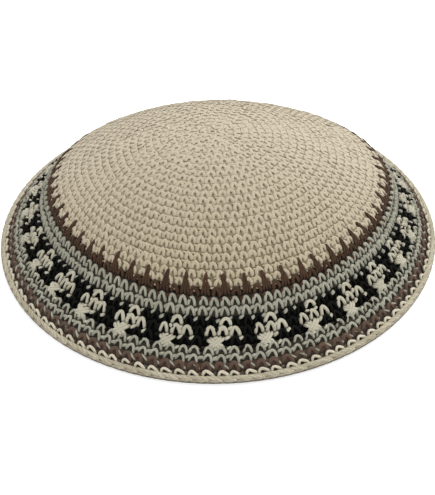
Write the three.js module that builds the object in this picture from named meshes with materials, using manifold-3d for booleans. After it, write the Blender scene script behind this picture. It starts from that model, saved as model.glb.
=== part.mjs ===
// A kippah: a shallow skullcap crocheted in rounds from thick cotton yarn, standing on its rim.
// In section its wall is a run of arcs: a flat dome that rounds over at the shoulder, and a band that
// flares towards the rim. Every round of stitches stands a little proud of the grooves beside it.
// Lengths are in millimetres, +Z is up, and the origin lies at the centre of the rim, on the surface
// that the cap stands on.

import * as THREE from 'three';
import { mergeVertices } from 'three/addons/utils/BufferGeometryUtils.js';
import Module from 'manifold-3d';

// The crocheted wall
const WALL_THICKNESS = 3.0;
const GROOVE_DEPTH = 0.4;
const YARN_CHANGE_GAP = 0.3;

// The slope of the wall in degrees at shares of the crown's arc length, and then of the band's
const CROWN_SLOPES = [
  { share: 0.55, slope: 21.0 },
  { share: 0.78, slope: 26.5 },
  { share: 0.9, slope: 34.0 },
  { share: 1.0, slope: 51.0 },
];
const BAND_SLOPES = [
  { share: 0.28, slope: 38.5 },
  { share: 0.62, slope: 32.0 },
  { share: 1.0, slope: 41.5 },
];

// How many rounds are worked in each yarn, outwards from the centre ring, and how high each is
const CENTRE_RING_RADIUS = 2.0;
const CROWN_ROUNDS = 22;
const CROWN_ROUND_HEIGHT = 3.3;
const SPIKE_ROUNDS = 1;
const SPIKE_ROUND_HEIGHT = 3.3;
const UPPER_GREY_ROUNDS = 2;
const UPPER_GREY_ROUND_HEIGHT = 3.55;
const MOTIF_ROUNDS = 3;
const MOTIF_ROUND_HEIGHT = 3.5;
const LOWER_GREY_ROUNDS = 2;
const LOWER_GREY_ROUND_HEIGHT = 2.85;
const BROWN_ROUNDS = 1;
const BROWN_ROUND_HEIGHT = 2.75;

// The edge round and the braid that lies along the rim
const EDGE_ROUND_HEIGHT = 1.6;
const BRAID_DIAMETER = 2.8;
const BRAID_SET_IN = 0.3;
const BRAID_GROOVE_ANGLE = THREE.MathUtils.degToRad(140);
const BRAID_STEPS = 7;

// The brown spike stitches, which reach down over the last rounds of the crown
const MOTIF_REPEATS = 30;
const SPIKES_PER_REPEAT = 2;
// Where the first spike lies past the +X axis, as a share of the space between two spikes
const FIRST_SPIKE_SHARE = 0.28;
const SPIKE_LENGTH = 5.6;
const SPIKE_ROOT_WIDTH = 2.2;
const SPIKE_TIP_WIDTH = 1.0;
const SPIKE_HEIGHT = 0.8;
const SPIKE_ROOT_LENGTH = 1.6;
const SPIKE_ROOT_DEPTH = 0.5;

// How the soft crown has settled: its top leans, and its shoulder has shifted and lost its roundness
const CROWN_LEAN_LEFT = 1.4;
const CROWN_LEAN_FRONT = 1.7;
const LEAN_POWER = 2;
const SHOULDER_SHIFT_RIGHT = 1.0;
const SHOULDER_SHIFT_FRONT = 1.0;
const SHOULDER_OVAL_SHARE = 0.039;
const SHOULDER_FLAT_BACK_SHARE = 0.031;

// How finely the round pieces are faceted
const SEGMENTS_AROUND = 48;
const INNER_CROWN_STEPS = 9;

// Yarn colours
const TAN = 0xc4b492;
const BROWN = 0x57392f;
const GREY = 0x8f9186;
const BLACK = 0x1b1a17;
const CREAM = 0xc9bfa2;

const wasm = await Module();
wasm.setup();

// Arc lengths along the outer face, from the middle of the crown to where each yarn ends
const crownEnd = CENTRE_RING_RADIUS + CROWN_ROUNDS * CROWN_ROUND_HEIGHT;
const spikeEnd = crownEnd + SPIKE_ROUNDS * SPIKE_ROUND_HEIGHT;
const upperGreyEnd = spikeEnd + UPPER_GREY_ROUNDS * UPPER_GREY_ROUND_HEIGHT;
const motifEnd = upperGreyEnd + MOTIF_ROUNDS * MOTIF_ROUND_HEIGHT;
const lowerGreyEnd = motifEnd + LOWER_GREY_ROUNDS * LOWER_GREY_ROUND_HEIGHT;
const brownEnd = lowerGreyEnd + BROWN_ROUNDS * BROWN_ROUND_HEIGHT;
const braidRadius = BRAID_DIAMETER / 2;
const braidArc = brownEnd + EDGE_ROUND_HEIGHT + braidRadius;

// The arcs of the section, each from where the one above it ends
function arcsAlong(start, end, slopes) {
  return slopes.map(({ share, slope }) => ({
    end: start + (end - start) * share,
    slope: THREE.MathUtils.degToRad(slope),
  }));
}
const sectionArcs = [
  ...arcsAlong(0, spikeEnd, CROWN_SLOPES),
  ...arcsAlong(spikeEnd, braidArc, BAND_SLOPES),
];
const rimSlope = sectionArcs.at(-1).slope;

// Radius and drop below the top of the crown at an arc length, and the slope of the wall there
function section(arc) {
  const place = { start: 0, radius: 0, drop: 0, slope: 0 };
  for (const { end, slope: endSlope } of sectionArcs) {
    const length = Math.min(arc, end) - place.start;
    const bend = (endSlope - place.slope) * length / (end - place.start);
    const chord = bend === 0 ? length : length * Math.sin(bend / 2) / (bend / 2);
    place.radius += chord * Math.cos(place.slope + bend / 2);
    place.drop += chord * Math.sin(place.slope + bend / 2);
    place.slope += bend;
    place.start = end;
    if (arc <= end) break;
  }
  return place;
}

// The braid rests on the surface, which sets the height of the crown above it
const crownHeight = section(braidArc).drop + BRAID_SET_IN * Math.cos(rimSlope) + braidRadius;

// A point in the wall's section: x is the radius and y the height
function wallPoint(arc, depth) {
  const { radius, drop, slope } = section(arc);
  return new THREE.Vector2(
    Math.max(radius - depth * Math.sin(slope), 0),
    crownHeight - drop - depth * Math.cos(slope),
  );
}

// The outer face of a run of rounds: a crest on every round and a groove after it
function ribbedFace(start, roundHeight, rounds, end) {
  const points = [];
  for (let round = 0; round < rounds; round += 1) {
    const crest = start + (round + 0.5) * roundHeight;
    const groove = Math.min(start + (round + 1) * roundHeight, end);
    points.push(wallPoint(crest, 0));
    points.push(wallPoint(groove, GROOVE_DEPTH));
  }
  return points;
}

// Moves a turned or fused shape as the soft crown has settled. The lean grows towards the top. The
// rest is strongest at the shoulder, which is wider from side to side and flatter at the back.
function settle(geometry) {
  const rimHeight = wallPoint(brownEnd, 0).y;
  const shoulderRise = (wallPoint(spikeEnd, 0).y - rimHeight) / (crownHeight - rimHeight);
  const position = geometry.attributes.position;
  for (let index = 0; index < position.count; index += 1) {
    const x = position.getX(index);
    const y = position.getY(index);
    const angle = Math.atan2(y, x);
    const rise = Math.max(position.getZ(index) - rimHeight, 0) / (crownHeight - rimHeight);
    const lean = rise ** LEAN_POWER;
    const closeness = Math.min(rise / shoulderRise, (1 - rise) / (1 - shoulderRise));
    const bulge = THREE.MathUtils.smoothstep(closeness, 0, 1);
    const oval = SHOULDER_OVAL_SHARE * Math.cos(2 * angle);
    const flatBack = SHOULDER_FLAT_BACK_SHARE * Math.sin(3 * angle);
    const spread = 1 + bulge * (oval + flatBack);
    position.setX(index, x * spread + bulge * SHOULDER_SHIFT_RIGHT - lean * CROWN_LEAN_LEFT);
    position.setY(index, y * spread - bulge * SHOULDER_SHIFT_FRONT - lean * CROWN_LEAN_FRONT);
  }
  geometry.computeVertexNormals();
  return geometry;
}

function withSharedVertices(geometry) {
  geometry.deleteAttribute('normal');
  geometry.deleteAttribute('uv');
  return mergeVertices(geometry);
}

// Turns a closed section about the upright axis
function turned(sectionPoints) {
  const geometry = new THREE.LatheGeometry(sectionPoints, SEGMENTS_AROUND);
  geometry.rotateX(Math.PI / 2);
  return withSharedVertices(geometry);
}

function toManifold(geometry) {
  const vertProperties = new Float32Array(geometry.attributes.position.array);
  const triVerts = new Uint32Array(geometry.index.array);
  return new wasm.Manifold(new wasm.Mesh({ numProp: 3, vertProperties, triVerts }));
}

function fromManifold(solid) {
  const mesh = solid.getMesh();
  const geometry = new THREE.BufferGeometry();
  geometry.setAttribute('position', new THREE.BufferAttribute(mesh.vertProperties, 3));
  geometry.setIndex(new THREE.BufferAttribute(mesh.triVerts, 1));
  return geometry;
}

function yarnPiece(name, geometry, color) {
  const material = new THREE.MeshStandardMaterial({ color, roughness: 0.95, metalness: 0 });
  const mesh = new THREE.Mesh(settle(geometry), material);
  mesh.name = name;
  return mesh;
}

// The crown: one closed dome, hollow underneath, with its last round cut square to the wall
function crownGeometry() {
  const end = crownEnd - YARN_CHANGE_GAP / 2;
  const outer = [wallPoint(0, GROOVE_DEPTH)];
  outer.push(...ribbedFace(CENTRE_RING_RADIUS, CROWN_ROUND_HEIGHT, CROWN_ROUNDS, end));
  const inner = [];
  for (let step = INNER_CROWN_STEPS; step >= 0; step -= 1) {
    inner.push(wallPoint(end * step / INNER_CROWN_STEPS, WALL_THICKNESS));
  }
  return turned([...outer, ...inner].reverse());
}

// A ring of rounds in one yarn
function ringGeometry(arcStart, rounds, roundHeight) {
  const start = arcStart + YARN_CHANGE_GAP / 2;
  const end = arcStart + rounds * roundHeight - YARN_CHANGE_GAP / 2;
  const first = wallPoint(start, GROOVE_DEPTH);
  const outer = ribbedFace(arcStart, roundHeight, rounds, end);
  const inner = [wallPoint(end, WALL_THICKNESS), wallPoint(start, WALL_THICKNESS)];
  return turned([first, ...outer, ...inner, first].reverse());
}

// One spike stitch: a flat tapered strand rooted in the brown round, lying on the crown
function spikeGeometry(azimuth) {
  const underside = -YARN_CHANGE_GAP;
  const top = underside - SPIKE_HEIGHT;
  const tipTop = underside - SPIKE_HEIGHT / 2;
  const side = new THREE.Shape([
    new THREE.Vector2(SPIKE_ROOT_LENGTH, SPIKE_ROOT_DEPTH),
    new THREE.Vector2(YARN_CHANGE_GAP, underside),
    new THREE.Vector2(-SPIKE_LENGTH, underside),
    new THREE.Vector2(-SPIKE_LENGTH, tipTop),
    new THREE.Vector2(SPIKE_ROOT_LENGTH, top),
  ]);
  const geometry = new THREE.ExtrudeGeometry(side, { depth: 1, steps: 1, bevelEnabled: false });
  const position = geometry.attributes.position;
  for (let index = 0; index < position.count; index += 1) {
    const along = position.getX(index);
    const rootShare = (along + SPIKE_LENGTH) / (SPIKE_LENGTH + SPIKE_ROOT_LENGTH);
    const width = THREE.MathUtils.lerp(SPIKE_TIP_WIDTH, SPIKE_ROOT_WIDTH, rootShare);
    const across = (position.getZ(index) - 0.5) * width;
    const { x: radius, y: height } = wallPoint(crownEnd + along, position.getY(index));
    const angle = azimuth + across / radius;
    position.setXYZ(index, radius * Math.cos(angle), radius * Math.sin(angle), height);
  }
  return withSharedVertices(geometry);
}

// The brown round with its spikes fused to it
function spikeRoundGeometry() {
  const spikeCount = MOTIF_REPEATS * SPIKES_PER_REPEAT;
  let solid = toManifold(ringGeometry(crownEnd, SPIKE_ROUNDS, SPIKE_ROUND_HEIGHT));
  for (let spike = 0; spike < spikeCount; spike += 1) {
    const azimuth = 2 * Math.PI * (spike + FIRST_SPIKE_SHARE) / spikeCount;
    solid = solid.add(toManifold(spikeGeometry(azimuth)));
  }
  return fromManifold(solid);
}

// The edging: a low round and a round-nosed braid that stands on a flat foot
function edgingGeometry() {
  const start = brownEnd + YARN_CHANGE_GAP / 2;
  const centre = wallPoint(braidArc, BRAID_SET_IN);
  const first = wallPoint(start, GROOVE_DEPTH);
  const outline = [first, wallPoint(brownEnd + EDGE_ROUND_HEIGHT / 2, 0)];
  const lowest = -Math.PI / 2;
  for (let step = 0; step <= BRAID_STEPS; step += 1) {
    const angle = THREE.MathUtils.lerp(BRAID_GROOVE_ANGLE, lowest, step / BRAID_STEPS);
    const height = step === BRAID_STEPS ? 0 : centre.y + braidRadius * Math.sin(angle);
    outline.push(new THREE.Vector2(centre.x + braidRadius * Math.cos(angle), height));
  }
  const innerTop = wallPoint(start, WALL_THICKNESS);
  const footRadius = innerTop.x + innerTop.y / Math.tan(rimSlope);
  outline.push(new THREE.Vector2(footRadius, 0), innerTop, first);
  return turned(outline.reverse());
}

const kippah = new THREE.Group();
kippah.name = 'kippah';
kippah.add(
  yarnPiece('crown', crownGeometry(), TAN),
  yarnPiece('spike_round', spikeRoundGeometry(), BROWN),
  yarnPiece('edging', edgingGeometry(), CREAM),
);

const rings = [
  ['upper_grey_band', spikeEnd, UPPER_GREY_ROUNDS, UPPER_GREY_ROUND_HEIGHT, GREY],
  ['motif_band', upperGreyEnd, MOTIF_ROUNDS, MOTIF_ROUND_HEIGHT, BLACK],
  ['lower_grey_band', motifEnd, LOWER_GREY_ROUNDS, LOWER_GREY_ROUND_HEIGHT, GREY],
  ['brown_round', lowerGreyEnd, BROWN_ROUNDS, BROWN_ROUND_HEIGHT, BROWN],
];
for (const [name, start, rounds, roundHeight, color] of rings) {
  kippah.add(yarnPiece(name, ringGeometry(start, rounds, roundHeight), color));
}

export default kippah;
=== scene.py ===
"""A kippah crocheted in rounds from thick cotton yarn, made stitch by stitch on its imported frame."""

import math

import bmesh
import bpy
import numpy as np
from mathutils import Matrix, Vector


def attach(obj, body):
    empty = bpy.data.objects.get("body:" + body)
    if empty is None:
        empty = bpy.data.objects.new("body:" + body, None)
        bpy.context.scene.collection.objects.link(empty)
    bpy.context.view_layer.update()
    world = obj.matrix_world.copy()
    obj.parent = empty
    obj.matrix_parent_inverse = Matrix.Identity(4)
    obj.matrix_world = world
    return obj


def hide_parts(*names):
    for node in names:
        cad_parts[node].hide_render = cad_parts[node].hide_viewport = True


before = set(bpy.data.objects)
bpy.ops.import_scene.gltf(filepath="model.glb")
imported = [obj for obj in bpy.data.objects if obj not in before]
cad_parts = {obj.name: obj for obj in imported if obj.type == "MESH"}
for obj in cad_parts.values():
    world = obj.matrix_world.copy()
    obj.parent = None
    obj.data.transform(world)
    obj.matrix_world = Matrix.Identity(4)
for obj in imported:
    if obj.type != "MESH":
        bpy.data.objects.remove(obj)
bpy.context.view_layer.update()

# The crown
# Twenty-two rounds of single crochet in thick tan cotton, worked outwards from a drawn-up ring. On the
# right side each stitch shows as two legs that meet in a point towards the centre, with the top loops
# of the round before peeping between the points. The wrong side, inside, shows level bars.

# Sizes are millimetres, along the wall from its middle or out from its face, as gauge is measured,
# and MM makes them metres. These are the cap's rounds, from its middle to the braid on its rim.
MM = 0.001
CENTRE_RING_RADIUS = 2.0
CROWN_ROUNDS = 22
CROWN_ROUND_HEIGHT = 3.3
SPIKE_ROUND_HEIGHT = 3.3
UPPER_GREY_ROUNDS = 2
UPPER_GREY_ROUND_HEIGHT = 3.55
MOTIF_ROUNDS = 3
MOTIF_ROUND_HEIGHT = 3.5
LOWER_GREY_ROUNDS = 2
LOWER_GREY_ROUND_HEIGHT = 2.85
BROWN_ROUND_HEIGHT = 2.75
EDGE_ROUND_HEIGHT = 1.6
BRAID_DIAMETER = 2.8
BRAID_SET_IN = 0.3

# The wall's slope in degrees at shares of the crown's arc length, and then of the band's
CROWN_SLOPES = ((0.55, 21.0), (0.78, 26.5), (0.9, 34.0), (1.0, 51.0))
BAND_SLOPES = ((0.28, 38.5), (0.62, 32.0), (1.0, 41.5))

# How the soft crown has settled: its top leans, and its shoulder has shifted and lost its roundness
CROWN_LEAN_LEFT = 1.4
CROWN_LEAN_FRONT = 1.7
LEAN_POWER = 2
SHOULDER_SHIFT_RIGHT = 1.0
SHOULDER_SHIFT_FRONT = 1.0
SHOULDER_OVAL_SHARE = 0.039
SHOULDER_FLAT_BACK_SHARE = 0.031

crown_end = CENTRE_RING_RADIUS + CROWN_ROUNDS * CROWN_ROUND_HEIGHT
spike_end = crown_end + SPIKE_ROUND_HEIGHT
upper_grey_end = spike_end + UPPER_GREY_ROUNDS * UPPER_GREY_ROUND_HEIGHT
motif_end = upper_grey_end + MOTIF_ROUNDS * MOTIF_ROUND_HEIGHT
lower_grey_end = motif_end + LOWER_GREY_ROUNDS * LOWER_GREY_ROUND_HEIGHT
brown_end = lower_grey_end + BROWN_ROUND_HEIGHT
braid_radius = BRAID_DIAMETER / 2
braid_arc = brown_end + EDGE_ROUND_HEIGHT + braid_radius

SECTION_ARCS = [(spike_end * share, math.radians(slope)) for share, slope in CROWN_SLOPES] + [
    (spike_end + (braid_arc - spike_end) * share, math.radians(slope)) for share, slope in BAND_SLOPES
]
rim_slope = SECTION_ARCS[-1][1]


def section(arc):
    """Radius, drop from the top of the crown and slope of the wall's outer face at arc lengths."""
    arc = np.asarray(arc, dtype=float)
    radius, drop, slope = np.zeros_like(arc), np.zeros_like(arc), np.zeros_like(arc)
    start, start_slope = 0.0, 0.0
    for end, end_slope in SECTION_ARCS:
        length = np.clip(arc, start, end) - start
        bend = (end_slope - start_slope) * length / (end - start)
        chord = length * np.sinc(bend / 2 / np.pi)
        radius += chord * np.cos(start_slope + bend / 2)
        drop += chord * np.sin(start_slope + bend / 2)
        slope = np.where(arc > start, start_slope + bend, slope)
        start, start_slope = end, end_slope
    past = np.maximum(arc - braid_arc, 0)
    return radius + past * math.cos(rim_slope), drop + past * math.sin(rim_slope), slope


crown_height = float(section(braid_arc)[1]) + BRAID_SET_IN * math.cos(rim_slope) + braid_radius
rim_height = crown_height - float(section(brown_end)[1])
shoulder_height = crown_height - float(section(spike_end)[1])
shoulder_rise = (shoulder_height - rim_height) / (crown_height - rim_height)


def settled(radius, height, angle):
    """Points on the cap as its soft crown has settled, from a radius, a height and an angle."""
    rise = np.maximum(height - rim_height, 0) / (crown_height - rim_height)
    lean = rise ** LEAN_POWER
    closeness = np.minimum(rise / shoulder_rise, (1 - rise) / (1 - shoulder_rise)).clip(0, 1)
    bulge = closeness ** 2 * (3 - 2 * closeness)
    oval = SHOULDER_OVAL_SHARE * np.cos(2 * angle)
    flat_back = SHOULDER_FLAT_BACK_SHARE * np.sin(3 * angle)
    spread = radius * (1 + bulge * (oval + flat_back))
    x = spread * np.cos(angle) + bulge * SHOULDER_SHIFT_RIGHT - lean * CROWN_LEAN_LEFT
    y = spread * np.sin(angle) - bulge * SHOULDER_SHIFT_FRONT - lean * CROWN_LEAN_FRONT
    return np.stack([x, y, height + 0 * angle], axis=-1)


# The ring that the first round is worked into, the floor of its hole, and the yarn inside the wall,
# which shows only between the strands. The floor and that yarn are painted in shade, painted shade in
# the hole and between the strands
RING_ARC = 1.35
RING_YARN_RADIUS = 0.55
RING_LIFT = -0.7
RING_SIDES = 8
RING_SEGMENTS = 32
CENTRE_HOLE_LIFT = -1.7
CORE_INNER_LIFT = -1.95
CORE_SEGMENTS = 96
LEAST_CORE_STEPS = 2
CORE_TONE = 0.5
# No yarn comes nearer to the middle than this along the wall, nor to the axis than this across it
CENTRE_GAP = 0.05
AXIS_GAP = 0.01
# Places around the yarn are shares of a turn, and a face wider than half a turn crosses the seam
HALF_TURN = 0.5


def as_arrays(bm):
    """A modelled shape as plain arrays: its points, its faces' corners and their coordinates."""
    along, around = (bm.verts.layers.float.get(name) for name in ("along", "around"))
    bm.verts.index_update()
    corners, sizes, coordinates = [], [], []
    for face in bm.faces:
        sizes.append(len(face.verts))
        turns = [vert[around] for vert in face.verts]
        crosses_seam = max(turns) - min(turns) > HALF_TURN
        for vert, turn in zip(face.verts, turns):
            corners.append(vert.index)
            coordinates.append((vert[along], turn + 1 if crosses_seam and turn < HALF_TURN else turn))
    points = np.array([vert.co[:] for vert in bm.verts])
    bm.free()
    return points, np.array(corners), np.array(sizes), np.array(coordinates)


def new_yarn():
    """An empty shape whose points keep their place along the yarn and around it."""
    bm = bmesh.new()
    for name in ("along", "around"):
        bm.verts.layers.float.new(name)
    return bm


def turned(profile, segments):
    """A ring turned about the upright axis from a closed profile of arc lengths and lifts."""
    bm = new_yarn()
    verts = []
    for arc, lift in profile:
        radius, drop, slope = (float(value) for value in section(arc))
        x = max(radius + lift * math.sin(slope), AXIS_GAP)
        verts.append(bm.verts.new((x, 0, crown_height - drop + lift * math.cos(slope))))
    edges = [bm.edges.new((vert, verts[index - 1])) for index, vert in enumerate(verts)]
    bmesh.ops.spin(
        bm, geom=verts + edges, cent=(0, 0, 0), axis=(0, 0, 1), angle=math.tau,
        steps=segments, use_merge=True,
    )
    bmesh.ops.recalc_face_normals(bm, faces=bm.faces[:])
    points, corners, sizes, coordinates = as_arrays(bm)
    radius, angle = np.hypot(points[:, 0], points[:, 1]), np.arctan2(points[:, 1], points[:, 0])
    return {
        "points": settled(radius, points[:, 2], angle) * MM,
        "corners": corners,
        "sizes": sizes,
        "coordinates": coordinates,
        "tone": np.full(len(points), CORE_TONE),
        # The turned yarn lies deep in the wall and is painted in full shade
        "shade": np.ones(len(points)),
        "felt_and_painted_light": np.zeros(len(points)),
    }


def core(start, end, outer_lift):
    """The yarn inside the wall, painted in shade: a thin turned ring that closes the holes between the
    strands.
    """
    steps = max(LEAST_CORE_STEPS, round((end - start) / CROWN_ROUND_HEIGHT))
    arcs = [start + (end - start) * step / steps for step in range(steps + 1)]
    outer = [(arc, outer_lift) for arc in arcs]
    return turned(outer + [(arc, CORE_INNER_LIFT) for arc in reversed(arcs)], CORE_SEGMENTS)


ring_profile = [
    (
        RING_ARC + RING_YARN_RADIUS * math.cos(math.tau * side / RING_SIDES),
        RING_LIFT + RING_YARN_RADIUS * math.sin(math.tau * side / RING_SIDES),
    )
    for side in range(RING_SIDES)
]
centre_ring = turned(ring_profile, RING_SEGMENTS)
# The ring gets no painted shade, and is painted fully paler, as painted light, like the crown's middle
centre_ring["shade"] = np.zeros_like(centre_ring["shade"])
centre_ring["felt_and_painted_light"] = np.ones_like(centre_ring["felt_and_painted_light"])
# The hole's floor is a sheet painted in full shade, a painted shade that darkens the hole
hole = core(CENTRE_GAP, RING_ARC, CENTRE_HOLE_LIFT)

# Along one twist length the yarn turns on by one of its plies, and its colour runs light and dark
# round the twist, painted shade in the grooves between the plies. Its fuzz and uneven patches are
# noise, and the shares say how far each of them lightens, tints or darkens it.
YARN_PLIES = 3
TWIST_LENGTH = 2.4
FUZZ_SCALE = 2600.0
FUZZ_DETAIL = 3.0
PATCH_SCALE = 90.0
PATCH_DETAIL = 2.0
PLY_LIGHT = 0.45
FUZZ_LIGHT = 0.6
TONE_LIGHT = 0.45
TONE_BASE = -0.2
TINT_SHARE = 0.5
# How far the painted shade colour is mixed into yarn deep in the wall, and how far the paler colour of
# felted yarn is mixed in, as painted light
PAINTED_SHADE_SHARE = 0.95
FUZZ_AND_PAINTED_LIGHT_SHARE = 0.7
FUZZ_RELIEF = 0.35
RELIEF_STRENGTH = 0.55
RELIEF_DEPTH = 0.00016
YARN_ROUGHNESS = 0.95
YARN_SPECULAR = 0.15
SHEEN_ROUGHNESS = 0.6
# Where a colour mix node keeps its factor and two colours, and its result
MIX_INPUTS = (0, 6, 7)
MIX_OUTPUT = 2


def yarn_group():
    """Cotton yarn's colour and relief: twisted plies, fuzz, uneven tone, painted shade between stitches, and
    a paler colour painted on felted yarn, as painted light.
    """
    group = bpy.data.node_groups.new("cotton yarn", "ShaderNodeTree")
    sockets = (
        ("Light", "INPUT", "NodeSocketColor"),
        ("Dark", "INPUT", "NodeSocketColor"),
        ("Tint", "INPUT", "NodeSocketColor"),
        ("Painted Shade", "INPUT", "NodeSocketColor"),
        ("Fuzz And Painted Light", "INPUT", "NodeSocketColor"),
        ("Plies", "INPUT", "NodeSocketFloat"),
        ("Twist", "INPUT", "NodeSocketFloat"),
        ("Color", "OUTPUT", "NodeSocketColor"),
        ("Height", "OUTPUT", "NodeSocketFloat"),
    )
    for name, way, kind in sockets:
        group.interface.new_socket(name=name, in_out=way, socket_type=kind)
    nodes, links = group.nodes, group.links
    given, result = nodes.new("NodeGroupInput"), nodes.new("NodeGroupOutput")

    def math_node(operation, *inputs):
        node = nodes.new("ShaderNodeMath")
        node.operation = operation
        for index, value in enumerate(inputs):
            if isinstance(value, bpy.types.NodeSocket):
                links.new(value, node.inputs[index])
            else:
                node.inputs[index].default_value = value
        return node.outputs[0]

    def mixed(factor, first, second):
        node = nodes.new("ShaderNodeMix")
        node.data_type = "RGBA"
        for socket, value in zip(MIX_INPUTS, (factor, first, second)):
            links.new(value, node.inputs[socket])
        return node.outputs[MIX_OUTPUT]

    def noise(scale, detail):
        node = nodes.new("ShaderNodeTexNoise")
        node.inputs["Scale"].default_value = scale
        node.inputs["Detail"].default_value = detail
        links.new(place, node.inputs["Vector"])
        return node.outputs[0]

    def attribute(name):
        node = nodes.new("ShaderNodeAttribute")
        node.attribute_name = name
        return node.outputs["Fac"]

    strand = nodes.new("ShaderNodeUVMap")
    strand.uv_map = "strand"
    split = nodes.new("ShaderNodeSeparateXYZ")
    links.new(strand.outputs[0], split.inputs[0])
    turns = math_node("MULTIPLY", split.outputs[1], given.outputs["Plies"])
    advance = math_node("DIVIDE", split.outputs[0], given.outputs["Twist"])
    phase = math_node("MULTIPLY", math_node("ADD", turns, advance), math.tau)
    # The sine of the twist, brought from between -1 and 1 to between 0 and 1
    ply = math_node("MULTIPLY_ADD", math_node("SINE", phase), 0.5, 0.5)
    place = nodes.new("ShaderNodeTexCoord").outputs["Object"]
    fuzz = noise(FUZZ_SCALE, FUZZ_DETAIL)
    patch = noise(PATCH_SCALE, PATCH_DETAIL)
    depth = math_node("MULTIPLY_ADD", ply, PLY_LIGHT, math_node("MULTIPLY", fuzz, FUZZ_LIGHT))
    tone = math_node("MULTIPLY_ADD", attribute("tone"), TONE_LIGHT, TONE_BASE)
    shade = math_node("ADD", depth, tone)
    base = mixed(shade, given.outputs["Dark"], given.outputs["Light"])
    tinted = mixed(math_node("MULTIPLY", patch, TINT_SHARE), base, given.outputs["Tint"])
    # Painted shade: yarn deep in the wall is mixed towards the painted shade colour
    painted_shade = math_node("MULTIPLY", attribute("shade"), PAINTED_SHADE_SHARE)
    shaded = mixed(painted_shade, tinted, given.outputs["Painted Shade"])
    # Painted light: felted yarn is mixed towards a paler colour
    paled_by_fuzz_and_painted_light = mixed(math_node("MULTIPLY", attribute("felt_and_painted_light"), FUZZ_AND_PAINTED_LIGHT_SHARE), shaded, given.outputs["Fuzz And Painted Light"])
    links.new(paled_by_fuzz_and_painted_light, result.inputs["Color"])
    links.new(math_node("MULTIPLY_ADD", fuzz, FUZZ_RELIEF, ply), result.inputs["Height"])
    return group


COTTON_YARN = yarn_group()


def yarn_material(name, light, dark, tint, painted_shade, fuzz=(1, 1, 1), sheen=0.05):
    """A cotton yarn by its light and dark plies, its uneven tint, the painted shade of its hollows, and the
    paler fuzz colour painted on it where it is felted, as painted light.
    """
    material = bpy.data.materials.new(name)
    material.use_nodes = True
    nodes, links = material.node_tree.nodes, material.node_tree.links
    shader = nodes["Principled BSDF"]
    yarn = nodes.new("ShaderNodeGroup")
    yarn.node_tree = COTTON_YARN
    named = (("Light", light), ("Dark", dark), ("Tint", tint), ("Painted Shade", painted_shade), ("Fuzz And Painted Light", fuzz))
    for socket, color in named:
        yarn.inputs[socket].default_value = (*color, 1)
    yarn.inputs["Plies"].default_value = YARN_PLIES
    yarn.inputs["Twist"].default_value = TWIST_LENGTH
    bump = nodes.new("ShaderNodeBump")
    bump.inputs["Strength"].default_value = RELIEF_STRENGTH
    bump.inputs["Distance"].default_value = RELIEF_DEPTH
    links.new(yarn.outputs["Color"], shader.inputs["Base Color"])
    links.new(yarn.outputs["Height"], bump.inputs["Height"])
    links.new(bump.outputs[0], shader.inputs["Normal"])
    shader.inputs["Roughness"].default_value = YARN_ROUGHNESS
    shader.inputs["Specular IOR Level"].default_value = YARN_SPECULAR
    shader.inputs["Sheen Weight"].default_value = sheen
    shader.inputs["Sheen Roughness"].default_value = SHEEN_ROUGHNESS
    return material


# The tan yarn's fuzz colour is the paler colour painted on the felted crown, as painted light
TAN_YARN = yarn_material(
    "tan_yarn", (0.555, 0.48, 0.335), (0.405, 0.34, 0.225), (0.515, 0.445, 0.325), (0.25, 0.2, 0.12),
    fuzz=(0.6, 0.53, 0.415), sheen=0.0,
)

# The first round has this many stitches and each round that many more, up to the band's number
FIRST_ROUND_STITCHES = 6
STITCHES_PER_REPEAT = 4
MOTIF_REPEATS = 30
BAND_STITCHES = STITCHES_PER_REPEAT * MOTIF_REPEATS

# The wall's middle lies this far under its outer face, and the yarn there is painted in shade
MIDDLE_LIFT = -1.6
SHADED_DEPTH = 0.9
SHADE_FADE = 0.7

# Where the crown is felted its strands are flattened towards a lift, and they are painted paler, with less
# painted shade and tone contrast, as painted light
FELT_AND_PAINTED_LIGHT_REACH = 75.0
FELTED_LIFT = -0.35
FELTED_SPREAD = 0.3
FELTED_FLATTENING = 0.87
FELT_AND_PAINTED_LIGHT_SHADE_LOSS = 0.85
FELTED_TONE_LOSS = 0.5


def on_cap(angle, arc, lift):
    """Points in metres at an angle round the cap, an arc length from its middle and a lift."""
    radius, drop, slope = section(arc)
    return settled(radius + lift * np.sin(slope), crown_height - drop + lift * np.cos(slope), angle) * MM


def felt_and_painted_light_share(radius, angle):
    """How much the yarn is felted flat and painted paler, as painted light: 1 from the crown's middle to its
    back, less in front.
    """
    return (1 + radius * np.sin(angle) / FELT_AND_PAINTED_LIGHT_REACH).clip(0, 1)


def in_shade(lift):
    """How deep in the wall a lift lies, and so how far it is painted in shade: 1 in its middle and 0 on its
    two faces.
    """
    return ((SHADED_DEPTH - np.abs(lift - MIDDLE_LIFT)) / SHADE_FADE).clip(0, 1)


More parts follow.
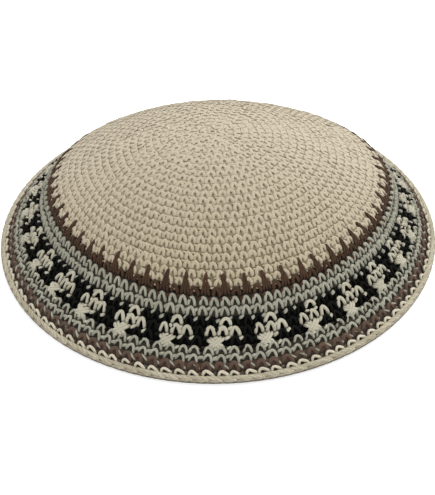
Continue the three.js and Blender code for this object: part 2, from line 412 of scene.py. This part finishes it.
def draw_strand(bm, route, radius, sides):
    """One closed length of yarn: a round section extruded from point to point along the route."""
    along, around = (bm.verts.layers.float.get(name) for name in ("along", "around"))
    route = [Vector(point) for point in route]
    section_verts = bmesh.ops.create_circle(bm, cap_ends=True, radius=radius, segments=sides)["verts"]
    for vert in section_verts:
        vert[around] = (math.atan2(vert.co.y, vert.co.x) / math.tau) % 1
    face = section_verts[0].link_faces[0]
    last, travelled = Matrix.Identity(4), 0.0
    for index, point in enumerate(route):
        ahead = route[min(index + 1, len(route) - 1)]
        behind = route[max(index - 1, 0)]
        heading = (ahead - behind).normalized()
        side = heading.cross(Vector((0, 0, 1))).normalized()
        turn = Matrix((side, heading.cross(side), heading)).transposed().to_4x4()
        placed = Matrix.Translation(point) @ turn
        if index:
            grown = bmesh.ops.extrude_face_region(bm, geom=[face, *face.edges])["geom"]
            section_verts = [part for part in grown if isinstance(part, bmesh.types.BMVert)]
            face = next(part for part in grown if isinstance(part, bmesh.types.BMFace))
            travelled += (point - route[index - 1]).length
        bmesh.ops.transform(bm, matrix=placed @ last.inverted(), verts=section_verts)
        for vert in section_verts:
            vert[along] = travelled
        last = placed


def drawn(routes, radius, sides, width=1.0, height=1.0):
    """Yarn on routes that give shares of a width and a height, and a lift, at every point."""
    bm = new_yarn()
    for route in routes:
        sized = [(across * width, out * height, lift) for across, out, lift in route]
        draw_strand(bm, sized, radius, sides)
    # Laid on the cap the strands are mirrored, so their faces point inwards until then
    bmesh.ops.recalc_face_normals(bm, faces=bm.faces[:])
    bmesh.ops.reverse_faces(bm, faces=bm.faces[:])
    return as_arrays(bm)


def mirrored(half):
    """A route that runs back up on the other side of the last point of its first half."""
    return (*half, *((-across, out, lift) for across, out, lift in reversed(half[:-1])))


def round_of(stitches, arc, height, first, rng, slant=0.0):
    """The places of one round of stitches, each a little off its neighbours as hand work is."""
    step = math.tau / stitches
    turn = np.arange(stitches)
    radius = float(section(arc + height / 2)[0])
    wave = np.sin(turn * step * ROUND_WAVES + rng.uniform(0, math.tau)) * ROUND_WANDER
    return {
        "angle": first + (turn + rng.normal(0, ANGLE_WANDER, stitches)) * step,
        "arc": arc + wave + rng.normal(0, ROUND_WANDER, stitches),
        "radius": np.full(stitches, radius),
        "height": np.full(stitches, height),
        "width": np.full(stitches, radius * step),
        "size": rng.normal(1.0, SIZE_WANDER, (stitches, 2)),
        "lift": rng.normal(0, LIFT_WANDER, stitches),
        "tilt": rng.normal(slant, TILT_WANDER, stitches),
        "tone": rng.uniform(0, 1, stitches),
        "felt_and_painted_light": np.zeros(stitches),
    }


def worked(template, places):
    """One copy of a drawn stitch at each place, bent to the wall, as one set of arrays."""
    points, corners, sizes, coordinates = template
    count = len(places["angle"])
    tilt, half = places["tilt"][:, None], places["height"][:, None] / 2
    felt_and_painted_light = places["felt_and_painted_light"][:, None]
    across = points[:, 0] * places["size"][:, :1] * (1 + FELTED_SPREAD * felt_and_painted_light)
    out = points[:, 1] * places["size"][:, 1:] - half
    angle = (across * np.cos(tilt) - out * np.sin(tilt)) / places["radius"][:, None]
    arc = places["arc"][:, None] + half + across * np.sin(tilt) + out * np.cos(tilt)
    flattened = FELTED_LIFT + (points[:, 2] - FELTED_LIFT) * (1 - FELTED_FLATTENING * felt_and_painted_light)
    lift = flattened + places["lift"][:, None]
    offsets = (np.arange(count) * len(points))[:, None]
    start = places["tone"][:, None, None] * np.array(TWIST_STARTS)
    return {
        "points": on_cap(places["angle"][:, None] + angle, np.maximum(arc, CENTRE_GAP), lift).reshape(-1, 3),
        "corners": (corners + offsets).ravel(),
        "sizes": np.tile(sizes, count),
        "coordinates": (coordinates + start).reshape(-1, 2),
        "tone": np.repeat(places["tone"], len(points)),
        # Painted shade deep in the wall, less where the crown is painted light
        "shade": (in_shade(lift) * (1 - FELT_AND_PAINTED_LIGHT_SHADE_LOSS * felt_and_painted_light)).ravel(),
        "felt_and_painted_light": np.repeat(places["felt_and_painted_light"], len(points)),
    }


def yarn_piece(name, parts, material, node):
    """Joins the arrays of a yarn's stitches into one mesh object that stands for a CAD node."""
    mesh = bpy.data.meshes.new(name)
    points = np.concatenate([part["points"] for part in parts])
    # No strand dips into the floor
    points[:, 2] = points[:, 2].clip(0, None)
    offsets = np.cumsum([0] + [len(part["points"]) for part in parts[:-1]])
    corners = np.concatenate([part["corners"] + offset for part, offset in zip(parts, offsets)])
    sizes = np.concatenate([part["sizes"] for part in parts])
    mesh.vertices.add(len(points))
    mesh.vertices.foreach_set("co", points.ravel())
    mesh.loops.add(len(corners))
    mesh.loops.foreach_set("vertex_index", corners)
    mesh.polygons.add(len(sizes))
    mesh.polygons.foreach_set("loop_start", np.concatenate([[0], np.cumsum(sizes)[:-1]]))
    mesh.polygons.foreach_set("use_smooth", np.ones(len(sizes), dtype=bool))
    mesh.update(calc_edges=True)
    strand_map = mesh.uv_layers.new(name="strand")
    coordinates = np.concatenate([part["coordinates"] for part in parts])
    strand_map.data.foreach_set("uv", coordinates.ravel())
    for key in ("tone", "shade", "felt_and_painted_light"):
        values = mesh.attributes.new(key, "FLOAT", "POINT")
        values.data.foreach_set("value", np.concatenate([part[key] for part in parts]))
    mesh.materials.append(material)
    mesh.validate()
    piece = bpy.data.objects.new(name, mesh)
    bpy.context.scene.collection.objects.link(piece)
    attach(piece, "root")
    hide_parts(node)


# Each route gives a place across the stitch and out along it, in shares of its width and height, and
# a lift from the wall's face in millimetres
CROWN_YARN_RADIUS = 0.72
CROWN_LEG_SIDES = 6
CROWN_LEGS = mirrored((
    (-0.25, 0.95, -1.8), (-0.3, 0.77, -1.1), (-0.27, 0.54, -0.78), (-0.13, 0.3, -0.72), (0.0, 0.14, -0.82),
))
CROWN_LOOP_RADIUS = 0.62
CROWN_LOOP = ((0.16, 1.16, -1.6), (0.38, 1.22, -1.05), (0.6, 1.28, -1.0), (0.82, 1.34, -1.6))
LOOP_SIDES = 5
WRONG_SIDE_RADIUS = 0.55
BACK_BARS = (
    ((-0.5, 0.33, -2.0), (-0.22, 0.47, -2.55), (0.22, 0.47, -2.55), (0.5, 0.33, -2.0)),
    ((-0.5, 0.83, -2.0), (-0.2, 0.89, -2.4), (0.2, 0.89, -2.4), (0.5, 0.83, -2.0)),
)
# The yarn inside the wall lies this deep, and rises this far where the crown is felted
CORE_OUTER_LIFT = -1.3
CROWN_CORE_RISE = 0.75
# How far hand work strays, as spreads in millimetres, shares of a stitch and radians, and in how
# many waves a whole round wavers
ROUND_WANDER = 0.09
ROUND_WAVES = 3
ANGLE_WANDER = 0.05
SIZE_WANDER = 0.05
LIFT_WANDER = 0.08
TILT_WANDER = 0.07
# A stitch's tone also shifts its twist, by up to so much along the yarn and around it
TWIST_STARTS = (7.0, 1.0)

# A crown round's first stitch lies this share of a stitch past that of the round before
CROWN_ROUND_SHIFT = -0.3
SPIKE_ANGLE = math.radians(271.7)

CROWN_SEED = 18
rng = np.random.default_rng(CROWN_SEED)
crown_core = core(RING_ARC, crown_end, CORE_OUTER_LIFT)
x, y = crown_core["points"][:, 0] / MM, crown_core["points"][:, 1] / MM
# The crown's core is painted paler, and with less painted shade, where the crown is painted light
crown_core["felt_and_painted_light"] = felt_and_painted_light_share(np.hypot(x, y), np.arctan2(y, x))
crown_core["points"][:, 2] += CROWN_CORE_RISE * MM * crown_core["felt_and_painted_light"]
crown_core["shade"] = 1 - FELT_AND_PAINTED_LIGHT_SHADE_LOSS * crown_core["felt_and_painted_light"]
right_side, top_loops, wrong_side = [crown_core, centre_ring, hole], [], []
for number in range(CROWN_ROUNDS):
    stitches = min(FIRST_ROUND_STITCHES * (number + 1), BAND_STITCHES)
    arc = CENTRE_RING_RADIUS + number * CROWN_ROUND_HEIGHT
    past = (CROWN_ROUNDS - number) * CROWN_ROUND_SHIFT
    first = SPIKE_ANGLE - past * math.tau / stitches
    places = round_of(stitches, arc, CROWN_ROUND_HEIGHT, first, rng)
    back_places = dict(places)
    # From the crown's middle to its back the stitches are flattened and painted paler, as painted light
    places["felt_and_painted_light"] = felt_and_painted_light_share(places["radius"], places["angle"])
    places["tone"] = places["tone"] * (1 - FELTED_TONE_LOSS * places["felt_and_painted_light"])
    width = places["width"][0]
    legs = drawn([CROWN_LEGS], CROWN_YARN_RADIUS, CROWN_LEG_SIDES, width, CROWN_ROUND_HEIGHT)
    loop = drawn([CROWN_LOOP], CROWN_LOOP_RADIUS, LOOP_SIDES, width, CROWN_ROUND_HEIGHT)
    back = drawn(BACK_BARS, WRONG_SIDE_RADIUS, LOOP_SIDES, width, CROWN_ROUND_HEIGHT)
    right_side.append(worked(legs, places))
    top_loops.append(worked(loop, places))
    wrong_side.append(worked(back, back_places))
yarn_piece("crown_right_side", right_side, TAN_YARN, "crown")
yarn_piece("crown_top_loops", top_loops, TAN_YARN, "crown")
yarn_piece("crown_wrong_side", wrong_side, TAN_YARN, "crown")

# The spike round
# One round in dark brown cotton after the crown. Every second stitch is a spike: it is worked two
# rounds lower, so its long legs lie over the crown and make the toothed border.

BROWN_YARN = yarn_material(
    "brown_yarn", (0.09, 0.047, 0.024), (0.028, 0.013, 0.005), (0.062, 0.031, 0.018), (0.018, 0.009, 0.004),
    fuzz=(0.36, 0.27, 0.22),
)

BROWN_YARN_RADIUS = 0.68
LEG_SIDES = 7
BAND_LEGS = (
    (-0.3, 0.98, -1.7), (-0.3, 0.8, -1.0), (-0.28, 0.57, -0.62), (-0.24, 0.34, -0.5), (-0.15, 0.16, -0.5),
    (-0.03, 0.09, -0.55), (0.09, 0.17, -0.5), (0.2, 0.35, -0.5), (0.28, 0.57, -0.62), (0.33, 0.8, -1.0),
    (0.34, 0.98, -1.7),
)
LOOP_RADIUS = 0.66
TOP_LOOP = (
    (0.34, 1.4, -1.5), (0.42, 1.34, -0.6), (0.5, 1.28, -0.36), (0.58, 1.22, -0.6), (0.66, 1.15, -1.5),
)
SPIKE_YARN_RADIUS = 0.52
SPIKE_LEGS = mirrored((
    (-0.36, 1.0, -1.6), (-0.33, 0.65, -0.75), (-0.24, 0.15, -0.45), (-0.15, -0.4, -0.35),
    (-0.08, -1.0, -0.35), (-0.04, -1.4, -0.45), (0.0, -1.5, -0.65),
))
SPIKE_MIDDLE_SIDES = 6
SPIKE_MIDDLE = ((0.0, 0.9, -1.2), (0.0, 0.3, -0.4), (0.0, -0.3, -0.35), (0.0, -1.0, -0.7))
STITCHES_PER_SPIKE = 2
# The spikes at the back are pressed this far into the crown
BACK_SPIKE_SINK = 0.35


def picked(places, keep):
    """Those places of a round that are worked in one way."""
    return {key: values[keep] for key, values in places.items()}


def plain_stitches(places, yarn_radius, legs=BAND_LEGS, loops=(TOP_LOOP,), loop_radius=LOOP_RADIUS):
    """Both sides of plain stitches in one yarn, with the loops that show past the next round."""
    width, height = places["width"][0], places["height"][0]
    return [
        worked(drawn([legs], yarn_radius, LEG_SIDES, width, height), places),
        worked(drawn(loops, loop_radius, LOOP_SIDES, width, height), places),
        worked(drawn(BACK_BARS, WRONG_SIDE_RADIUS, LOOP_SIDES, width, height), places),
    ]


BAND_SEED = 5
rng = np.random.default_rng(BAND_SEED)
spike_places = round_of(BAND_STITCHES, crown_end, SPIKE_ROUND_HEIGHT, SPIKE_ANGLE, rng)
spike_places["lift"] -= BACK_SPIKE_SINK * np.sin(spike_places["angle"]).clip(0, 1)
is_spike = np.arange(BAND_STITCHES) % STITCHES_PER_SPIKE == 0
middle = drawn(
    [SPIKE_MIDDLE], SPIKE_YARN_RADIUS, SPIKE_MIDDLE_SIDES, spike_places["width"][0], SPIKE_ROUND_HEIGHT
)
yarn_piece(
    "spike_stitches",
    [
        *plain_stitches(picked(spike_places, is_spike), SPIKE_YARN_RADIUS, SPIKE_LEGS),
        *plain_stitches(picked(spike_places, ~is_spike), BROWN_YARN_RADIUS),
        worked(middle, picked(spike_places, is_spike)),
        core(crown_end, spike_end, CORE_OUTER_LIFT),
    ],
    BROWN_YARN, "spike_round",
)

# The upper grey band
# Two rounds of single crochet in light greenish grey cotton, worked into the brown round. Their
# stitches stand nearly one below the other, and every round of the band drifts a little to one side.

GREY_YARN = yarn_material(
    "grey_yarn", (0.465, 0.452, 0.36), (0.215, 0.21, 0.16), (0.37, 0.365, 0.295), (0.045, 0.04, 0.027)
)
GREY_YARN_RADIUS = 0.6

# The tip of one figure lies at this angle, and each round runs this share of a stitch past the last
TIP_ANGLE = math.radians(271.0)
BAND_ROUND_SHIFT = -0.05


def band_round(number, arc, height, rng, slant=0.0):
    """The places of a round that is worked so many rounds after the first of the figure."""
    first = TIP_ANGLE + number * BAND_ROUND_SHIFT * math.tau / BAND_STITCHES
    return round_of(BAND_STITCHES, arc, height, first, rng, slant)


upper_grey = [core(spike_end, upper_grey_end, CORE_OUTER_LIFT)]
for number in range(UPPER_GREY_ROUNDS):
    arc = spike_end + number * UPPER_GREY_ROUND_HEIGHT
    places = band_round(number - UPPER_GREY_ROUNDS, arc, UPPER_GREY_ROUND_HEIGHT, rng)
    upper_grey += plain_stitches(places, GREY_YARN_RADIUS)
yarn_piece("upper_grey_stitches", upper_grey, GREY_YARN, "upper_grey_band")

# The motif band
# Three rounds of tapestry crochet in two cottons: a small cream figure on black, four stitches to
# the repeat, one row of the chart to a round. The resting yarn is carried inside the stitches. In
# the last round the two cream stitches lean together and cross.

BLACK_YARN = yarn_material(
    "black_yarn", (0.006, 0.0057, 0.005), (0.002, 0.002, 0.0016), (0.004, 0.004, 0.003),
    (0.001, 0.001, 0.001), sheen=0.0,
)
CREAM_YARN = yarn_material(
    "cream_yarn", (0.59, 0.56, 0.44), (0.37, 0.345, 0.255), (0.52, 0.485, 0.39), (0.10, 0.085, 0.06)
)

# C is a cream stitch, X one of two cream stitches that cross, and k a black one
MOTIF_CHART = ("Ckkk", "CCkC", "XkkX")
BLACK_YARN_RADIUS = 0.58
CREAM_YARN_RADIUS = 0.68
CROSSED_YARN_RADIUS = 0.62
CREAM_LOOP = (
    (0.22, 1.36, -1.5), (0.3, 1.3, -0.6), (0.38, 1.24, -0.36), (0.46, 1.18, -0.6), (0.54, 1.1, -1.5),
)
SECOND_LOOP = tuple((-across, out, lift) for across, out, lift in CREAM_LOOP)
TIP_LEGS = mirrored((
    (-0.45, 0.9, -1.4), (-0.42, 0.72, -0.72), (-0.34, 0.5, -0.42), (-0.24, 0.32, -0.34),
    (-0.12, 0.21, -0.38), (0.0, 0.17, -0.44),
))
CROSSED_LEGS = (
    ((-0.66, 0.28, -1.3), (-0.53, 0.44, -0.5), (-0.2, 0.78, -0.35), (0.18, 1.1, -0.3), (0.34, 1.3, -1.1)),
    ((-0.42, 0.14, -1.3), (-0.31, 0.32, -0.5), (0.02, 0.66, -0.35), (0.4, 0.98, -0.35), (0.56, 1.16, -1.1)),
    ((0.66, 0.22, -1.3), (0.52, 0.4, -0.5), (0.18, 0.74, -0.05), (-0.2, 1.06, -0.3), (-0.36, 1.24, -1.2)),
    ((0.4, 0.1, -1.3), (0.3, 0.26, -0.5), (-0.04, 0.6, -0.1), (-0.4, 0.92, -0.35), (-0.54, 1.08, -1.2)),
)

ground, figure = [core(upper_grey_end, motif_end, CORE_OUTER_LIFT)], []
for number, row in enumerate(MOTIF_CHART):
    arc = upper_grey_end + number * MOTIF_ROUND_HEIGHT
    places = band_round(number, arc, MOTIF_ROUND_HEIGHT, rng)
    stitch = np.array([row[turn % STITCHES_PER_REPEAT] for turn in range(BAND_STITCHES)])
    ground += plain_stitches(picked(places, stitch == "k"), BLACK_YARN_RADIUS)
    is_tip = number == 0
    cream = picked(places, stitch == "C")
    if "C" in row:
        figure += plain_stitches(cream, CREAM_YARN_RADIUS, TIP_LEGS if is_tip else BAND_LEGS, [CREAM_LOOP])
        if is_tip:
            loop = drawn([SECOND_LOOP], LOOP_RADIUS, LOOP_SIDES, cream["width"][0], MOTIF_ROUND_HEIGHT)
            figure.append(worked(loop, cream))
    crossed = picked(places, stitch == "X")
    if "X" in row:
        width = crossed["width"][0]
        back = drawn([TOP_LOOP, *BACK_BARS], WRONG_SIDE_RADIUS, LOOP_SIDES, width, MOTIF_ROUND_HEIGHT)
        figure.append(worked(back, crossed))
        # The crossed legs lie between the first stitch of a repeat and the one before it
        is_first = np.arange(BAND_STITCHES) % STITCHES_PER_REPEAT == 0
        between = picked(places, (stitch == "X") & is_first)
        between["angle"] = between["angle"] - math.tau / BAND_STITCHES / 2
        legs = drawn(CROSSED_LEGS, CROSSED_YARN_RADIUS, LEG_SIDES, width, MOTIF_ROUND_HEIGHT)
        figure.append(worked(legs, between))
yarn_piece("motif_ground", ground, BLACK_YARN, "motif_band")
yarn_piece("motif_figure", figure, CREAM_YARN, "motif_band")

# The lower grey band
# Two more rounds of single crochet in the same grey cotton, a little lower and tighter than the
# first two. The last one begins to slant, as the tight brown round after it pulls it over.

LOWER_GREY_SLANTS = (0.08, 0.3)
# The top loops show past the next round. The last round's are drawn out long and thin by the brown.
DRAWN_LOOP_RADIUS = 0.42
DRAWN_LOOP = (
    (0.0, 0.98, -1.4), (0.2, 1.06, -0.6), (0.44, 1.18, -0.35), (0.66, 1.32, -0.55), (0.8, 1.42, -1.4),
)
LOWER_GREY_LOOPS = (((TOP_LOOP,), LOOP_RADIUS), ((DRAWN_LOOP,), DRAWN_LOOP_RADIUS))
# The tighter rounds draw the yarn thinner
LOWER_GREY_YARN_RADIUS = 0.53
lower_grey = [core(motif_end, lower_grey_end, CORE_OUTER_LIFT)]
for number, (slant, (loops, loop_radius)) in enumerate(zip(LOWER_GREY_SLANTS, LOWER_GREY_LOOPS)):
    arc = motif_end + number * LOWER_GREY_ROUND_HEIGHT
    places = band_round(MOTIF_ROUNDS + number, arc, LOWER_GREY_ROUND_HEIGHT, rng, slant)
    lower_grey += plain_stitches(places, LOWER_GREY_YARN_RADIUS, BAND_LEGS, loops, loop_radius)
yarn_piece("lower_grey_stitches", lower_grey, GREY_YARN, "lower_grey_band")

# The brown round
# One plain round of single crochet in the brown cotton of the spikes, worked tightly into the grey,
# so that its stitches slant and close up. They are flattened a little and painted a little paler, with
# less painted shade.

BROWN_SLANT = 0.35
BROWN_ROUND_YARN_RADIUS = 0.74
BROWN_CORE_LIFT = -0.8
BROWN_CORE_SHADE = 0.75
BROWN_ROUND_FLATTENING_AND_PALING = 0.21
brown_number = MOTIF_ROUNDS + LOWER_GREY_ROUNDS
places = band_round(brown_number, lower_grey_end, BROWN_ROUND_HEIGHT, rng, BROWN_SLANT)
flattened_and_paled_places = places | {"felt_and_painted_light": places["felt_and_painted_light"] + BROWN_ROUND_FLATTENING_AND_PALING}
brown_core = core(lower_grey_end, brown_end, BROWN_CORE_LIFT)
# The round's core is painted paler and with less painted shade
brown_core["felt_and_painted_light"] = brown_core["felt_and_painted_light"] + BROWN_ROUND_FLATTENING_AND_PALING
brown_core["shade"] = brown_core["shade"] * BROWN_CORE_SHADE
# The bars of the wrong side, which come last, aren't flattened or paled
*brown_right_side, _ = plain_stitches(flattened_and_paled_places, BROWN_ROUND_YARN_RADIUS)
*_, brown_wrong_side = plain_stitches(places, BROWN_ROUND_YARN_RADIUS)
yarn_piece(
    "brown_stitches", [*brown_right_side, brown_wrong_side, brown_core],
    BROWN_YARN, "brown_round",
)

# The edging
# A last low round in cream cotton, whose stitches hook over with one short leg and one long one, and
# its braid of top loops, which lies along the rim and carries the cap.

EDGE_YARN_RADIUS = 0.53
EDGE_STITCH_HEIGHT = 3.3
# The legs' places along the rim and out, and their lifts, are all in millimetres
EDGE_LEGS = (
    (-0.7, 2.3, -1.0), (-0.8, 1.5, -0.35), (-0.6, 0.8, -0.1), (-0.1, 0.38, -0.05), (0.55, 0.4, 0.0),
    (1.2, 0.72, 0.0), (2.0, 1.2, -0.1), (2.8, 1.85, -0.6),
)
EDGE_BACK_BAR = ((-0.5, 0.2, -1.6), (-0.2, 0.35, -2.1), (0.2, 0.35, -2.1), (0.5, 0.2, -1.6))
EDGE_TURNS_PAST_BROWN = 0.1
# The edge stitches are the palest yarn, paler than the braid below them
EDGE_TONE = 0.5
edge_number = brown_number + 1 + EDGE_TURNS_PAST_BROWN
edge_places = band_round(edge_number, brown_end, EDGE_STITCH_HEIGHT, rng)
edge_places["tone"] = edge_places["tone"] + EDGE_TONE

# The braid is darker than the stitches, and below this height it is painted in shade, a painted shadow
# where the cap meets the floor
FLOOR_SHADE_HEIGHT = 1.85
FLOOR_SHADE_FADE = 0.4
BRAID_TONES = (-0.8, 0.2)
BRAID_STRAND_RADIUS = 0.6
BRAID_SPREAD = 0.8
LINK_WANDER = 0.04
# Each link as its place along the rim in stitch widths and its angle round the braid in degrees
UPPER_LINK = ((-0.9, 130), (-0.5, 118), (0.0, 100), (0.5, 80), (0.9, 60), (1.2, 20))
LOWER_LINK = ((-0.9, -70), (-0.5, -45), (0.0, -20), (0.5, 0), (0.9, 18), (1.2, 50))


def braided(link, rng):
    """One link of the braid for each stitch of the edge round, laid round the rim."""
    step = math.tau / BAND_STITCHES
    radius, drop, slope = (float(value) for value in section(braid_arc))
    centre_radius = radius - BRAID_SET_IN * math.sin(slope)
    route = []
    for along, turn in link:
        out = centre_radius + BRAID_SPREAD * math.cos(math.radians(turn))
        up = braid_radius + BRAID_SPREAD * math.sin(math.radians(turn))
        route.append((along * step * centre_radius, out, up))
    points, corners, sizes, coordinates = drawn([route], BRAID_STRAND_RADIUS, LEG_SIDES)
    number = np.arange(BAND_STITCHES)
    turn = number + rng.normal(0, LINK_WANDER, BAND_STITCHES)
    angle = turn[:, None] * step + points[:, 0] / centre_radius
    tone = rng.uniform(*BRAID_TONES, BAND_STITCHES)
    return {
        "points": settled(points[:, 1] + 0 * angle, points[:, 2] + 0 * angle, angle).reshape(-1, 3) * MM,
        "corners": (corners + (number * len(points))[:, None]).ravel(),
        "sizes": np.tile(sizes, BAND_STITCHES),
        "coordinates": (coordinates + tone[:, None, None] * np.array(TWIST_STARTS)).reshape(-1, 2),
        "tone": np.repeat(tone, len(points)),
        # Painted shadow: the braid is painted dark low down, near the floor
        "shade": ((FLOOR_SHADE_HEIGHT - points[:, 2] + 0 * angle) / FLOOR_SHADE_FADE).clip(0, 1).ravel(),
        "felt_and_painted_light": np.zeros(angle.size),
    }


EDGING_YARN = yarn_material(
    "edging_yarn", (0.72, 0.665, 0.525), (0.33, 0.29, 0.2), (0.54, 0.49, 0.37), (0.05, 0.04, 0.028)
)
edge_back = drawn(
    [EDGE_BACK_BAR], WRONG_SIDE_RADIUS, LOOP_SIDES, edge_places["width"][0], EDGE_STITCH_HEIGHT
)
yarn_piece(
    "edging_stitches",
    [
        worked(drawn([EDGE_LEGS], EDGE_YARN_RADIUS, LEG_SIDES), edge_places),
        worked(edge_back, edge_places),
        braided(UPPER_LINK, rng),
        braided(LOWER_LINK, rng),
        core(brown_end, braid_arc, CORE_OUTER_LIFT),
    ],
    EDGING_YARN, "edging",
)

# The floor
# A plain sheet of pale paper that the cap stands on. It glows a little, so that it shows as plain
# white round the cap, as in the photograph.

FLOOR_SIZE = 6.0
PAPER_COLOR = (0.9, 0.9, 0.9, 1)
PAPER_ROUGHNESS = 0.9
PAPER_GLOW = 0.5
bpy.ops.mesh.primitive_plane_add(size=FLOOR_SIZE)
floor = bpy.context.object
floor.name = "floor"
paper = bpy.data.materials.new("pale_paper")
paper.use_nodes = True
paper_shader = paper.node_tree.nodes["Principled BSDF"]
paper_shader.inputs["Base Color"].default_value = PAPER_COLOR
paper_shader.inputs["Roughness"].default_value = PAPER_ROUGHNESS
paper_shader.inputs["Emission Color"].default_value = (1, 1, 1, 1)
paper_shader.inputs["Emission Strength"].default_value = PAPER_GLOW
floor.data.materials.append(paper)

# The light
# One large soft lamp above and behind the cap, a weaker one in front of it, and a pale room that
# fills the shadows all round.

ROOM_BRIGHTNESS = 0.72


def soft_light(name, place, size, power):
    """A round lamp at a place, turned to the cap, with its width in metres and its watts."""
    lamp = bpy.data.lights.new(name, "AREA")
    lamp.shape = "DISK"
    lamp.size = size
    lamp.energy = power
    light = bpy.data.objects.new(name, lamp)
    light.location = place
    light.rotation_euler = (-Vector(place)).to_track_quat("-Z", "Y").to_euler()
    bpy.context.scene.collection.objects.link(light)


soft_light("key", place=(0.36, 0.56, 0.87), size=0.9, power=7.4)
soft_light("fill", place=(0.3, -0.7, 0.8), size=0.8, power=1.3)
world = bpy.data.worlds.new("studio")
world.use_nodes = True
room = world.node_tree.nodes["Background"]
room.inputs["Color"].default_value = (1, 1, 1, 1)
room.inputs["Strength"].default_value = ROOM_BRIGHTNESS
bpy.context.scene.world = world
bpy.context.scene.view_settings.view_transform = "Standard"

# The camera
# It looks down on the front of the cap from close by, as the photograph does. Its place, its aim
# and its lens bring the cap's outline to where the photograph has it.

FRAME_WIDTH_PX = 435
FRAME_HEIGHT_PX = 495
SENSOR_MM = 36.0
FOCAL_LENGTH_PX = 629.4
CAMERA_DISTANCE = 0.28861
CAMERA_AZIMUTH = math.radians(0.339)
CAMERA_ELEVATION = math.radians(37.582)
AIM_RIGHT = math.radians(0.069)
AIM_DOWN = math.radians(3.010)
CAMERA_ROLL = math.radians(-1.289)
NEAREST_VIEW = 0.01


def looking(azimuth, elevation):
    """The direction from which a camera at that azimuth and elevation looks back to the centre."""
    return Vector((
        math.sin(azimuth) * math.cos(elevation),
        -math.cos(azimuth) * math.cos(elevation),
        math.sin(elevation),
    ))


forward = -looking(CAMERA_AZIMUTH + AIM_RIGHT, CAMERA_ELEVATION + AIM_DOWN)
right = forward.cross(Vector((0, 0, 1))).normalized()
up = right.cross(forward)
rolled_right = right * math.cos(CAMERA_ROLL) + up * math.sin(CAMERA_ROLL)
rolled_up = up * math.cos(CAMERA_ROLL) - right * math.sin(CAMERA_ROLL)
camera_data = bpy.data.cameras.new("camera")
camera_data.sensor_width = SENSOR_MM
camera_data.lens = FOCAL_LENGTH_PX / max(FRAME_WIDTH_PX, FRAME_HEIGHT_PX) * SENSOR_MM
camera_data.clip_start = NEAREST_VIEW
camera = bpy.data.objects.new("camera", camera_data)
axes = Matrix((rolled_right, rolled_up, -forward)).transposed().to_4x4()
place = looking(CAMERA_AZIMUTH, CAMERA_ELEVATION) * CAMERA_DISTANCE
camera.matrix_world = Matrix.Translation(place) @ axes
bpy.context.scene.collection.objects.link(camera)
bpy.context.scene.camera = camera
